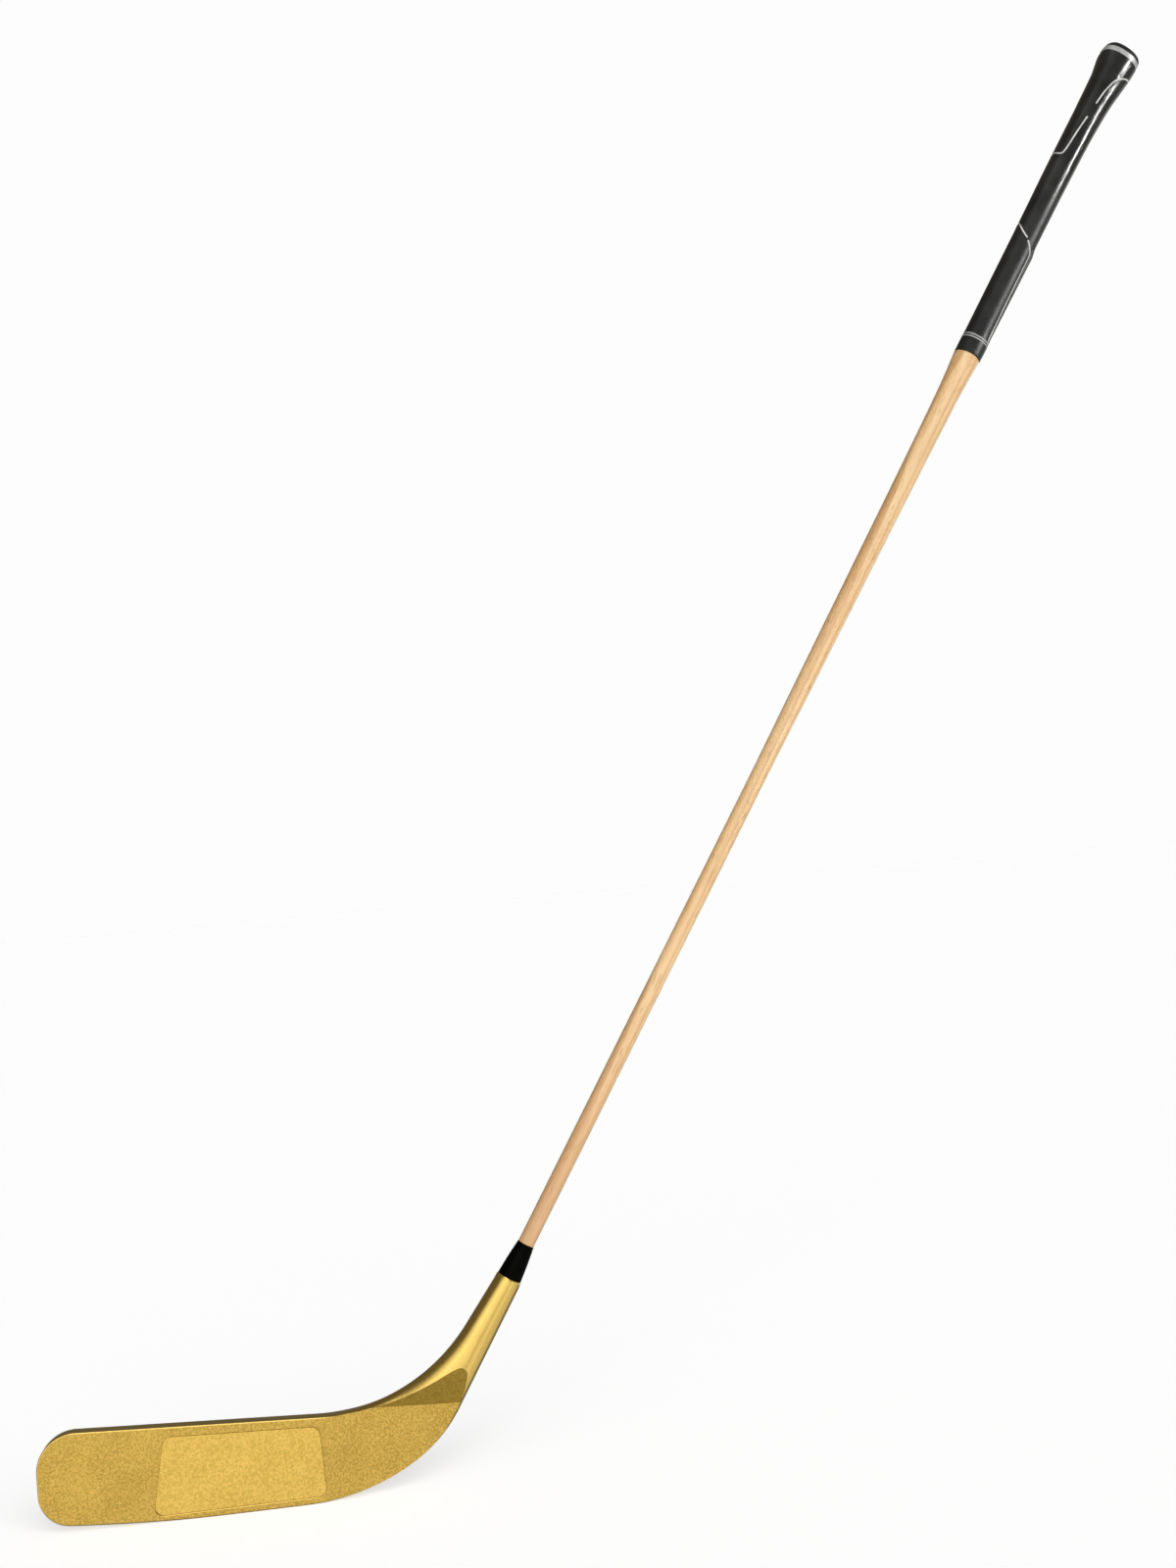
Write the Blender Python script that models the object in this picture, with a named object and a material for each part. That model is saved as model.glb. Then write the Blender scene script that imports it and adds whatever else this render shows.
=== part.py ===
"""Golf putter shaped like a hockey stick, standing at address. Metres.

+Z is up, -X points to the toe of the blade and -Y is the way the striking face looks.
The origin is the middle of the flat stretch of the sole. Flat shapes are drawn in the
XZ plane as (x, z) pairs. Everything round sits on the shaft's axis, which leans to +X,
and a place on it is given by its distance from the ground along that axis.
"""
from math import acos, asin, atan2, cos, pi, radians, sin, sqrt, tan

import bmesh
import bpy
from mathutils import Matrix, Vector

GAP = 0.0003                      # clearance between pieces that touch

# shaft axis
LIE = radians(58.1)               # from the ground
AXIS_FOOT = 0.0878                # x where the axis meets the ground

# blade and neck, seen from the front
TOE_X = -0.1515
SOLE_FLAT_END = -0.023            # toe end of the flat stretch of the sole
ROCKER_R = 1.150                  # slow curve of the sole up towards the toe
TOE_LOW_R = 0.0215
TOE_HIGH_R = 0.025
TOP_SLOPE = radians(-3.03)        # top edge of the blade falls towards the heel
TOP_POINT = (-0.126, 0.0655)      # a point on the top edge
THROAT_R = 0.125                  # inside bend between top edge and hosel
THROAT_ANGLE = radians(53.0)      # inner side of the hosel flares from the axis
HEEL_LOW_R = 0.148                # heel bend: slow curve, then a tighter one
HEEL_SPLIT = radians(33.0)
HEEL_HIGH_R = 0.090

# blade and neck, front to back
BLADE_HALF = 0.0055
EDGE_R = 0.0009                   # rounding along the blade's edges
HOSEL_R = 0.0092
HOSEL_TOP = 0.1589
HOSEL_CHAMFER = 0.0006            # how much the hosel's end narrows in radius
HOSEL_TAPER = 0.0050              # length over which it narrows
CREASE_RISE = 0.0041              # milled face stops this far above the top edge's line
RAMP_SLOPE = 0.155                # rise of the ramp from the milled face to the neck
HALF_ROUND = 0.50                 # share of the neck's width that one side's rounding takes
INNER_LEAN = 0.08                 # change of that share down the neck: more on the inner side
OUTER_LEAN = 0.12                 # and less on the heel side
# where each change down the neck starts and ends: 0 at the hosel, 1 at the plain blade
THINNING = (0.15, 1.0)            # thickness, from the hosel's to the blade's
LEANING = (0.0, 0.3)              # the lean of the roundings
INNER_CLOSING = (0.04, 0.86)      # size of the inner rounding, down to the blade's edge rounding
OUTER_CLOSING = (0.15, 0.6)       # the same on the heel side
INNER_FLATTENING = (0.6, 1.0)     # depth of the inner rounding, down to the blade's
OUTER_FLATTENING = (0.3, 0.7)     # the same on the heel side

# face insert
INSERT_CORNERS = ((-0.0775, 0.0045), (0.0377, 0.0045), (0.0356, 0.0508), (-0.0678, 0.0557))
INSERT_CORNER_R = 0.0062
POCKET_DEPTH = 0.0030
INSERT_SUNK = 0.0004
FILM = 0.0003                     # thickness of a layer of glue
FILM_MARGIN = 0.0015              # glue stops this far from the pocket's wall
CUTTER_SPARE = 0.0050             # cutters reach this far out of what they cut

# shaft, ferrule and socket
TENON_R = 0.0050
TENON_END = 0.1275
BORE_END = 0.1262
EPOXY_PLACES = (0.1290, 0.1569)
FERRULE_TOP = 0.1840
FERRULE_LOW_R = 0.0085
FERRULE_HIGH_R = 0.0059
SHAFT_PROFILE = (                 # distance from the ground, radius
    (FERRULE_TOP + GAP, 0.00570),
    (0.5390, 0.00575),
    (0.6120, 0.00630),
    (0.6970, 0.00680),
    (0.7840, 0.00735),
    (0.8500, 0.00810),
    (0.8620, 0.00840),
    (0.8710, 0.00875),
    (0.8780, 0.00910),
    (0.8840, 0.00950),
    (0.8900, 0.00980),            # shoulder under the grip's mouth
    (0.8900, 0.00760),
)

# grip
GRIP_MOUTH = 0.8903
GRIP_CORE_R = 0.0076
TAPE = 0.0003
TAPE_PLACES = (0.9003, 1.1377)
SHAFT_BUTT = 1.1387
CAP_SEAT = 1.1470                 # lower face of the end cap
RING_SEAT = 1.1432                # lower face of the butt ring
BUTT_END = 1.1520
VENT_R = 0.0012
RING_BORE_R = 0.0036
GRIP_STATIONS = (                 # distance from the mouth; reach to toe, to heel, to the sides
    (0.0000, 0.0097, 0.0102, 0.0099),
    (0.0080, 0.0097, 0.0104, 0.0100),
    (0.0140, 0.0096, 0.0103, 0.0098),
    (0.0180, 0.0095, 0.0101, 0.0096),
    (0.0860, 0.0095, 0.0109, 0.0099),
    (0.0925, 0.0095, 0.0104, 0.0099),
    (0.0990, 0.0095, 0.0097, 0.0099),
    (0.1100, 0.0095, 0.0098, 0.0100),
    (0.1550, 0.0099, 0.0104, 0.0102),
    (0.1840, 0.0098, 0.0110, 0.0106),
    (0.2060, 0.0097, 0.0122, 0.0112),
    (0.2180, 0.0098, 0.0132, 0.0117),
    (0.2290, 0.0099, 0.0148, 0.0123),
    (0.2380, 0.0101, 0.0162, 0.0128),
    (0.2460, 0.0110, 0.0173, 0.0133),
    (0.2520, 0.0116, 0.0178, 0.0134),
    (0.2560, 0.0115, 0.0179, 0.0133),
    (0.2588, 0.0109, 0.0177, 0.0128),
    (0.2604, 0.0097, 0.0168, 0.0118),
    (0.2613, 0.0081, 0.0151, 0.0102),
    (0.2617, 0.0045, 0.0095, 0.0065),
)
FRONT_FLATNESS = 2.6              # the thumb side is flatter than the palm side
BACK_FLATNESS = 2.0
STATION_MARGIN = 0.0004           # a station closer than this to a piece's end is skipped

# mesh fineness
EDGE_STEPS = 4
ARC_STEP = radians(2.8)
CORNER_STEP = radians(18)
STRAIGHT_STEPS = 4
ROUND_SIDES = 32
GRIP_SIDES = 28


# ---------------------------------------------------------------- plane geometry

def heading(angle):
    """Unit vector in the XZ plane at an angle from +X."""
    return Vector((cos(angle), sin(angle)))


def on_axis(distance, across=0.0):
    """A point of the XZ plane by its place on the shaft's axis and its offset to the heel side."""
    foot = Vector((AXIS_FOOT, 0.0))
    return foot + distance * heading(LIE) + across * heading(LIE - pi / 2)


def meet(p, along_p, q, along_q):
    """Where two lines cross."""
    cross = along_p.x * along_q.y - along_p.y * along_q.x
    d = q - p
    return p + along_p * ((d.x * along_q.y - d.y * along_q.x) / cross)


def arc(start, angle_in, angle_out, radius, step=ARC_STEP):
    """Points of a bend that starts along angle_in and ends along angle_out; left turns grow the angle."""
    side = 1 if angle_out > angle_in else -1
    centre = start + side * radius * heading(angle_in + pi / 2)
    count = max(2, round(abs(angle_out - angle_in) / step))
    turns = [angle_in + (angle_out - angle_in) * i / count for i in range(count + 1)]
    return [centre + side * radius * heading(a - pi / 2) for a in turns]


def heel_and_toe_outline():
    """Outline from the hosel's heel side down round the heel, the sole and the toe to the top edge."""
    rise = HEEL_LOW_R * (1 - cos(HEEL_SPLIT)) + HEEL_HIGH_R * (cos(HEEL_SPLIT) - cos(LIE))
    run = HEEL_LOW_R * sin(HEEL_SPLIT) + HEEL_HIGH_R * (sin(LIE) - sin(HEEL_SPLIT))
    corner = on_axis(HOSEL_TOP, HOSEL_R)
    side_x = corner.x - (corner.y - rise) / tan(LIE)
    low = arc(Vector((side_x - run, 0.0)), 0.0, HEEL_SPLIT, HEEL_LOW_R)
    high = arc(low[-1], HEEL_SPLIT, LIE, HEEL_HIGH_R)
    heel = (low[:-1] + high)[::-1]

    tip = asin((SOLE_FLAT_END - TOE_X - TOE_LOW_R) / (ROCKER_R - TOE_LOW_R))
    rocker = arc(Vector((SOLE_FLAT_END, 0.0)), pi, pi - tip, ROCKER_R, tip / 6)
    low_corner = arc(rocker[-1], pi - tip, pi / 2, TOE_LOW_R, 2 * ARC_STEP)
    reach = TOE_HIGH_R * tan((pi / 2 - TOP_SLOPE) / 2)
    edge = meet(Vector(TOP_POINT), heading(TOP_SLOPE), Vector((TOE_X, 0.0)), heading(pi / 2))
    high_corner = arc(edge - Vector((0.0, reach)), pi / 2, TOP_SLOPE, TOE_HIGH_R, 2 * ARC_STEP)
    return [corner] + heel + rocker + low_corner[1:] + high_corner


def throat_line():
    """Points down the neck's inner side to the blade's straight top edge, each with its upward heading."""
    corner = on_axis(HOSEL_TOP - HOSEL_TAPER, -HOSEL_R)
    knee = meet(corner, heading(THROAT_ANGLE), Vector(TOP_POINT), heading(TOP_SLOPE))
    reach = THROAT_R * tan((THROAT_ANGLE - TOP_SLOPE) / 2)
    start = knee + reach * heading(THROAT_ANGLE)
    line = []
    for i in range(STRAIGHT_STEPS):
        share = i / STRAIGHT_STEPS
        line.append((corner.lerp(start, share), LIE + (THROAT_ANGLE - LIE) * share))
    bend = arc(start, THROAT_ANGLE + pi, TOP_SLOPE + pi, THROAT_R)
    for i, point in enumerate(bend):
        line.append((point, THROAT_ANGLE + (TOP_SLOPE - THROAT_ANGLE) * i / (len(bend) - 1)))
    return line


def first_hit(start, along, outline):
    """Where a ray first meets an outline, and the number of the outline's point after it."""
    found = []
    for i in range(len(outline) - 1):
        a, b = outline[i], outline[i + 1]
        side_a = along.cross(a - start)
        side_b = along.cross(b - start)
        if side_a == side_b or side_a * side_b > 0:
            continue
        point = a.lerp(b, side_a / (side_a - side_b))
        if (point - start).dot(along) > 0:
            found.append(((point - start).length, i + 1, point))
    _, after, point = min(found, key=lambda hit: hit[0])
    return point, after


def ease(low, high, value):
    """0 below low, 1 above high, smooth between."""
    t = min(1.0, max(0.0, (value - low) / (high - low)))
    return t * t * (3 - 2 * t)


def mix(a, b, share):
    return a + (b - a) * share


# ---------------------------------------------------------------- head

def above_crease(point):
    """Height of a point above the line where the milled face stops."""
    return (point - Vector(TOP_POINT)).dot(heading(TOP_SLOPE + pi / 2)) - CREASE_RISE


def milled_half(point):
    """Half thickness that milling leaves: flat on the blade, a ramp above the crease."""
    return BLADE_HALF + RAMP_SLOPE * max(0.0, above_crease(point))


def side_rounding(width, bend):
    """Half thickness of the neck's section and (size, depth) of the rounding on its two sides.

    bend runs from 0 where the hosel ends to 1 where the plain blade starts.
    """
    half = mix(HOSEL_R, BLADE_HALF, ease(*THINNING, bend))
    lean = ease(*LEANING, bend)
    inner = mix(width * (HALF_ROUND + INNER_LEAN * lean), EDGE_R, ease(*INNER_CLOSING, bend))
    outer = mix(width * (HALF_ROUND - OUTER_LEAN * lean), EDGE_R, ease(*OUTER_CLOSING, bend))
    inner_depth = half - (BLADE_HALF - EDGE_R) * ease(*INNER_FLATTENING, bend)
    outer_depth = half - (BLADE_HALF - EDGE_R) * ease(*OUTER_FLATTENING, bend)
    return half, (inner, inner_depth), (outer, outer_depth)


def rounded_half(place, width, half, inner, outer):
    """Half thickness of the unmilled neck at a place across its width."""
    for reach, (size, depth) in ((place, inner), (width - place, outer)):
        if reach < size:
            return half - depth + depth * sqrt(max(0.0, 1 - ((size - reach) / size) ** 2))
    return half


def crossings(excess, width):
    """First and last places where the round neck stands proud of the milling, or None."""
    samples = [width * i / 80 for i in range(81)]
    proud = [i for i, place in enumerate(samples) if excess(place) > 0]
    if not proud:
        return None
    ends = []
    for i, outwards in ((proud[0], -1), (proud[-1], 1)):
        inside, outside = samples[i], samples[i + outwards]
        for _ in range(40):
            middle = (inside + outside) / 2
            inside, outside = (middle, outside) if excess(middle) > 0 else (inside, middle)
        ends.append(inside)
    return ends


def corner_places(size, reach):
    """Places from an edge inwards, evenly turned round its rounding, ending at reach."""
    turned = acos(max(-1.0, 1 - min(1.0, reach / size)))
    places = [size * (1 - cos(turned * k / EDGE_STEPS)) for k in range(EDGE_STEPS)]
    return places + [reach]


def neck_section(start, angle, end):
    """Front half of one section of the neck: (point, half thickness) from inner to heel side."""
    width = (end - start).length
    along = heading(angle - pi / 2)
    bend = (THROAT_ANGLE - angle) / (THROAT_ANGLE - TOP_SLOPE)
    half, inner, outer = side_rounding(width, max(0.0, bend))

    def round_at(place):
        return rounded_half(place, width, half, inner, outer)

    def milled_at(place):
        return milled_half(start + place * along)

    ends = crossings(lambda place: round_at(place) - milled_at(place) - 1e-7, width)
    first, last = ends or (inner[0], width - outer[0])
    rise = above_crease(start) - above_crease(end)
    crease = min(last, max(first, width * above_crease(start) / rise))
    places = corner_places(inner[0], first) + [crease]
    places += [width - place for place in reversed(corner_places(outer[0], width - last))]
    return [(start + p * along, min(round_at(p), milled_at(p))) for p in places]


def blade_column(point, inwards):
    """Rounded edge of the plain blade at one place of its outline, from the edge to the face."""
    column = []
    for k in range(EDGE_STEPS + 1):
        turn = pi / 2 * k / EDGE_STEPS
        place = point + EDGE_R * (1 - cos(turn)) * inwards
        column.append((place, BLADE_HALF - EDGE_R + EDGE_R * sin(turn)))
    return column


def both_sides(front):
    """Closed loop of 3-D points: along the front and back along its mirror image."""
    loop = [Vector((p.x, -half, p.y)) for p, half in front]
    return loop + [Vector((p.x, half, p.y)) for p, half in reversed(front)]


def hosel_end(loop, turn):
    """One ring of the hosel's rounded end: its first section moved up its axis and shrunk towards it."""
    centre = on_axis(HOSEL_TOP - HOSEL_TAPER)
    middle = Vector((centre.x, 0.0, centre.y))
    lift = HOSEL_TAPER * sin(turn) * Vector((cos(LIE), 0.0, sin(LIE)))
    shrink = 1 - HOSEL_CHAMFER / HOSEL_R * (1 - cos(turn))
    return [middle + shrink * (p - middle) + lift for p in loop]


def bridge(mesh, near, far, closed):
    """Quads between two rows of vertices."""
    count = len(near)
    for i in range(count if closed else count - 1):
        j = (i + 1) % count
        mesh.faces.new((near[i], near[j], far[j], far[i]))


def head_body():
    outline = heel_and_toe_outline()
    sections = []
    for start, angle in throat_line():
        end, after = first_hit(start, heading(angle - pi / 2), outline)
        sections.append(neck_section(start, angle, end))
    mesh = bmesh.new()
    loops = [both_sides(section) for section in sections]
    ends = [hosel_end(loops[0], turn) for turn in (pi / 2, pi / 3, pi / 6)]
    rings = [[mesh.verts.new(p) for p in loop] for loop in ends + loops]
    for near, far in zip(rings, rings[1:]):
        bridge(mesh, near, far, True)
    mesh.faces.new(rings[0])

    # plain blade: its rounded edge runs from the last section's heel end round to its inner end
    seam = sections[-1]
    rim = [seam[-1][0]] + outline[after:] + [seam[0][0]]
    columns = [list(reversed(seam[-EDGE_STEPS - 1:]))]
    for i in range(1, len(rim) - 1):
        chord = (rim[i + 1] - rim[i - 1]).normalized()
        columns.append(blade_column(rim[i], Vector((chord.y, -chord.x))))
    columns.append(seam[:EDGE_STEPS + 1])
    strips = []
    for column in columns:
        strips.append([mesh.verts.new(p) for p in both_sides(list(reversed(column)))])
    for near, far in zip(strips, strips[1:]):
        bridge(mesh, near, far, False)
    mesh.faces.new([strip[0] for strip in strips])
    mesh.faces.new([strip[-1] for strip in strips])
    bmesh.ops.remove_doubles(mesh, verts=mesh.verts, dist=2e-6)
    bmesh.ops.dissolve_degenerate(mesh, edges=mesh.edges, dist=2e-6)
    bmesh.ops.recalc_face_normals(mesh, faces=mesh.faces)
    return mesh


# ---------------------------------------------------------------- flat pieces of the insert

def insert_outline(shrink):
    """Rounded outline of the insert's pocket, shrunk by an even margin."""
    corners = [Vector(c) for c in INSERT_CORNERS]
    points = []
    for i, corner in enumerate(corners):
        before = (corners[i - 1] - corner).normalized()
        after = (corners[(i + 1) % 4] - corner).normalized()
        angle_in = atan2(-before.y, -before.x)
        opening = before.angle(after)
        start = corner + before * INSERT_CORNER_R / tan(opening / 2)
        bend = arc(start, angle_in, angle_in + pi - opening, INSERT_CORNER_R, CORNER_STEP)
        middle = corner + (before + after).normalized() * INSERT_CORNER_R / sin(opening / 2)
        points += [p + (middle - p).normalized() * shrink for p in bend]
    return points


def slab(outline, front, back):
    """Flat piece between two depths."""
    mesh = bmesh.new()
    near = [mesh.verts.new((p.x, front, p.y)) for p in outline]
    far = [mesh.verts.new((p.x, back, p.y)) for p in outline]
    mesh.faces.new(near)
    mesh.faces.new(far)
    bridge(mesh, near, far, True)
    bmesh.ops.recalc_face_normals(mesh, faces=mesh.faces)
    return mesh


# ---------------------------------------------------------------- pieces on the shaft's axis

def circle(place, radius, sides=ROUND_SIDES):
    """Ring of points about the local Z axis."""
    turns = [2 * pi * i / sides for i in range(sides)]
    return [Vector((radius * cos(t), radius * sin(t), place)) for t in turns]


def tube(rings):
    """Body whose rings run up its outside and back down its bore."""
    mesh = bmesh.new()
    rows = [[mesh.verts.new(p) for p in ring] for ring in rings]
    for i, row in enumerate(rows):
        bridge(mesh, row, rows[(i + 1) % len(rows)], True)
    bmesh.ops.recalc_face_normals(mesh, faces=mesh.faces)
    return mesh


def rod(profile, sides=ROUND_SIDES):
    """Solid round body from (place, radius) pairs."""
    mesh = bmesh.new()
    rows = [[mesh.verts.new(p) for p in circle(place, radius, sides)] for place, radius in profile]
    for near, far in zip(rows, rows[1:]):
        bridge(mesh, near, far, True)
    mesh.faces.new(rows[0])
    mesh.faces.new(rows[-1])
    bmesh.ops.recalc_face_normals(mesh, faces=mesh.faces)
    return mesh


def pipe(places, outer, inner):
    """Straight round tube between two places."""
    low, high = places
    return tube([circle(low, outer), circle(high, outer), circle(high, inner), circle(low, inner)])


def grip_reach(place):
    """Reach of the grip to toe, heel and sides at a distance from its mouth."""
    for low, high in zip(GRIP_STATIONS, GRIP_STATIONS[1:]):
        if place <= high[0]:
            share = (place - low[0]) / (high[0] - low[0])
            return [mix(a, b, share) for a, b in zip(low[1:], high[1:])]
    return list(GRIP_STATIONS[-1][1:])


def grip_ring(place, inset=0.0):
    """Outline of the grip across the axis; local +X faces down to the toe side's flat."""
    front, back, side = [reach - inset for reach in grip_reach(place)]
    points = []
    for i in range(GRIP_SIDES):
        turn = 2 * pi * i / GRIP_SIDES
        power = 2 / (FRONT_FLATNESS if cos(turn) > 0 else BACK_FLATNESS)
        reach = front if cos(turn) > 0 else back
        x = reach * abs(cos(turn)) ** power * (1 if cos(turn) > 0 else -1)
        y = side * abs(sin(turn)) ** power * (1 if sin(turn) > 0 else -1)
        points.append(Vector((x, y, GRIP_MOUTH + place)))
    return points


def grip_span(low, high):
    """Places between two distances where the grip's outline has a station, ends included."""
    inner = [s[0] for s in GRIP_STATIONS if low + STATION_MARGIN < s[0] < high - STATION_MARGIN]
    return [low] + inner + [high]


def grip_tube(low, high, bore_r):
    """Part of the grip's outside between two distances from the mouth, round a plain bore."""
    outside = [grip_ring(place) for place in grip_span(low, high)]
    inside = [circle(GRIP_MOUTH + place, bore_r, GRIP_SIDES) for place in (high, low)]
    return tube(outside + inside)


# ---------------------------------------------------------------- objects

def paint(name, colour, roughness, metallic):
    material = bpy.data.materials.new(name)
    material.use_nodes = True
    shader = material.node_tree.nodes["Principled BSDF"]
    shader.inputs["Base Color"].default_value = (*colour, 1.0)
    shader.inputs["Roughness"].default_value = roughness
    shader.inputs["Metallic"].default_value = metallic
    return material


def add(name, mesh, material, parent=None, cutter=False):
    data = bpy.data.meshes.new(name)
    mesh.to_mesh(data)
    mesh.free()
    data.shade_smooth()
    data.set_sharp_from_angle(angle=radians(28))
    piece = bpy.data.objects.new(name, data)
    bpy.context.scene.collection.objects.link(piece)
    piece.parent = parent
    if cutter:
        piece.hide_render = True
        piece.display_type = "WIRE"
    else:
        data.materials.append(material)
    return piece


def cut(target, cutter):
    modifier = target.modifiers.new(cutter.name, "BOOLEAN")
    modifier.operation = "DIFFERENCE"
    modifier.solver = "EXACT"
    modifier.object = cutter


def shaft_axis():
    """Empty on the shaft's axis: local +Z up the shaft, local +X square to it towards the toe."""
    axis = bpy.data.objects.new("shaft_axis", None)
    bpy.context.scene.collection.objects.link(axis)
    axis.location = (AXIS_FOOT, 0.0, 0.0)
    up = Vector((cos(LIE), 0.0, sin(LIE)))
    toe = Vector((-sin(LIE), 0.0, cos(LIE)))
    axis.rotation_euler = Matrix((toe, up.cross(toe), up)).transposed().to_euler()
    return axis


def make_head(axis):
    gold = paint("gold_anodised_aluminium", (0.62, 0.45, 0.11), 0.42, 1.0)
    head = add("head", head_body(), gold)
    pocket = slab(insert_outline(0.0), -BLADE_HALF - CUTTER_SPARE, -BLADE_HALF + POCKET_DEPTH)
    cut(head, add("pocket_cutter", pocket, None, cutter=True))
    bore_r = TENON_R + 3 * GAP + FILM
    bore = rod([(BORE_END, bore_r), (HOSEL_TOP + CUTTER_SPARE, bore_r)])
    cut(head, add("bore_cutter", bore, None, axis, cutter=True))

    floor = -BLADE_HALF + POCKET_DEPTH
    film_front = floor - GAP - FILM
    clear = paint("bonding_film", (0.75, 0.72, 0.62), 0.6, 0.0)
    add("insert_adhesive", slab(insert_outline(FILM_MARGIN), film_front, floor - GAP), clear)
    bright = paint("gold_insert", (0.78, 0.58, 0.16), 0.5, 1.0)
    plate = slab(insert_outline(GAP), -BLADE_HALF + INSERT_SUNK, film_front - GAP)
    add("face_insert", plate, bright)


def make_shaft(axis):
    wood = paint("natural_wood", (0.80, 0.56, 0.33), 0.45, 0.0)
    shoulder = FERRULE_TOP + GAP
    profile = [(TENON_END, TENON_R), (shoulder, TENON_R)] + list(SHAFT_PROFILE)
    profile.append((SHAFT_BUTT, GRIP_CORE_R))
    add("shaft", rod(profile), wood, axis)

    glue = paint("epoxy", (0.55, 0.50, 0.36), 0.5, 0.0)
    inner = TENON_R + GAP
    add("hosel_epoxy", pipe(EPOXY_PLACES, inner + FILM, inner), glue, axis)

    black = paint("gloss_black", (0.008, 0.008, 0.008), 0.18, 0.0)
    low = HOSEL_TOP + GAP
    cone = [circle(low, FERRULE_LOW_R), circle(FERRULE_TOP, FERRULE_HIGH_R)]
    bore = [circle(FERRULE_TOP, inner), circle(low, inner)]
    add("ferrule", tube(cone + bore), black, axis)


def make_grip(axis):
    tape_r = GRIP_CORE_R + GAP
    paper = paint("tape", (0.72, 0.68, 0.58), 0.7, 0.0)
    add("grip_tape", pipe(TAPE_PLACES, tape_r + TAPE, tape_r), paper, axis)

    rubber = paint("black_rubber", (0.022, 0.022, 0.021), 0.62, 0.0)
    bore_r = tape_r + TAPE + GAP
    ring_low = RING_SEAT - GRIP_MOUTH
    cap_low = CAP_SEAT - GRIP_MOUTH
    add("grip_sleeve", grip_tube(0.0, ring_low - GAP, bore_r), rubber, axis)
    grey = paint("light_grey", (0.55, 0.55, 0.53), 0.4, 0.0)
    add("butt_ring", grip_tube(ring_low, cap_low - GAP, RING_BORE_R), grey, axis)
    black = paint("cap_rubber", (0.016, 0.016, 0.016), 0.5, 0.0)
    add("grip_cap", grip_tube(cap_low, BUTT_END - GRIP_MOUTH, VENT_R), black, axis)


def main():
    for old in list(bpy.data.objects):
        bpy.data.objects.remove(old)
    axis = shaft_axis()
    bpy.context.view_layer.update()
    make_head(axis)
    make_shaft(axis)
    make_grip(axis)


main()
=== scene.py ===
"""Looks of the hockey-stick-shaped putter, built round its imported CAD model.

Metres, +Z up, -X to the toe of the blade, -Y out of the striking face. Flat shapes are
(x, z) pairs in the XZ plane. A place on the shaft's axis is its distance from the ground
along the axis, and a turn round it runs from 0 at the toe side over 90 degrees at the
front to 180 degrees at the heel side.
"""
from math import acos, asin, atan2, cos, pi, radians, sin, sqrt, tan

import bmesh
import bpy
from mathutils import Matrix, Vector


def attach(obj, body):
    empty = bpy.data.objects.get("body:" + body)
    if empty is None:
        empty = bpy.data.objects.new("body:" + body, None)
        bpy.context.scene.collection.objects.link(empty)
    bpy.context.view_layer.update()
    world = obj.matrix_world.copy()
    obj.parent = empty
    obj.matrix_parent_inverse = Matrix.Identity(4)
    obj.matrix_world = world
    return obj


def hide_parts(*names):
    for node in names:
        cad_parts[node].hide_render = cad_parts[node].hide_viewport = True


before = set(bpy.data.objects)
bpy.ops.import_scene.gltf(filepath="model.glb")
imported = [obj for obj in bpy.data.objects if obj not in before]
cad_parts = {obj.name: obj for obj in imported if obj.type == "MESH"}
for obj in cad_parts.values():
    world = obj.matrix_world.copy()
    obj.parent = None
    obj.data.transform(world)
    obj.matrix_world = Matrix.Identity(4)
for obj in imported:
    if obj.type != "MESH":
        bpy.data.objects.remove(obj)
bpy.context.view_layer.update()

# shaft axis
LIE = radians(58.1)
AXIS_FOOT = 0.0878

# blade and neck, seen from the front
TOE_X = -0.1515
SOLE_FLAT_END = -0.023
ROCKER_R = 1.150
TOE_LOW_R = 0.0215
TOE_HIGH_R = 0.025
TOP_SLOPE = radians(-3.03)
TOP_POINT = Vector((-0.126, 0.0655))
THROAT_R = 0.125
THROAT_ANGLE = radians(53.0)
HEEL_LOW_R = 0.148
HEEL_SPLIT = radians(33.0)
HEEL_HIGH_R = 0.090

# blade and neck, front to back
BLADE_HALF = 0.0055
EDGE_R = 0.0009
HOSEL_R = 0.0092
HOSEL_TOP = 0.1589
HOSEL_CHAMFER = 0.0006            # how much the hosel's end narrows in radius
HOSEL_TAPER = 0.0050              # length over which it narrows
CREASE_RISE = 0.0041
RAMP_SLOPE = 0.155
HALF_ROUND = 0.50
INNER_LEAN = 0.08
OUTER_LEAN = 0.12
# where each change down the neck starts and ends: 0 at the hosel, 1 at the plain blade
THINNING = (0.15, 1.0)
LEANING = (0.0, 0.3)
INNER_CLOSING = (0.04, 0.86)
OUTER_CLOSING = (0.15, 0.6)
INNER_FLATTENING = (0.6, 1.0)
OUTER_FLATTENING = (0.3, 0.7)

# face insert
INSERT_CORNERS = ((-0.0775, 0.0045), (0.0377, 0.0045), (0.0356, 0.0508), (-0.0678, 0.0557))
INSERT_CORNER_R = 0.0062
POCKET_DEPTH = 0.0030
POCKET_LIP = 0.00035
INSERT_SUNK = 0.00035
INSERT_GAP = 0.00006
INSERT_EDGE = 0.00025
INSERT_BACK = -0.0034
POCKET_LAYERS = (                 # how much the mouth's outline shrinks, and its depth, in lips
    (-2.0, -1.0),
    (-1.0, 0.0),
    (-0.3, 0.4),
    (0.0, 1.0),
)

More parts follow.
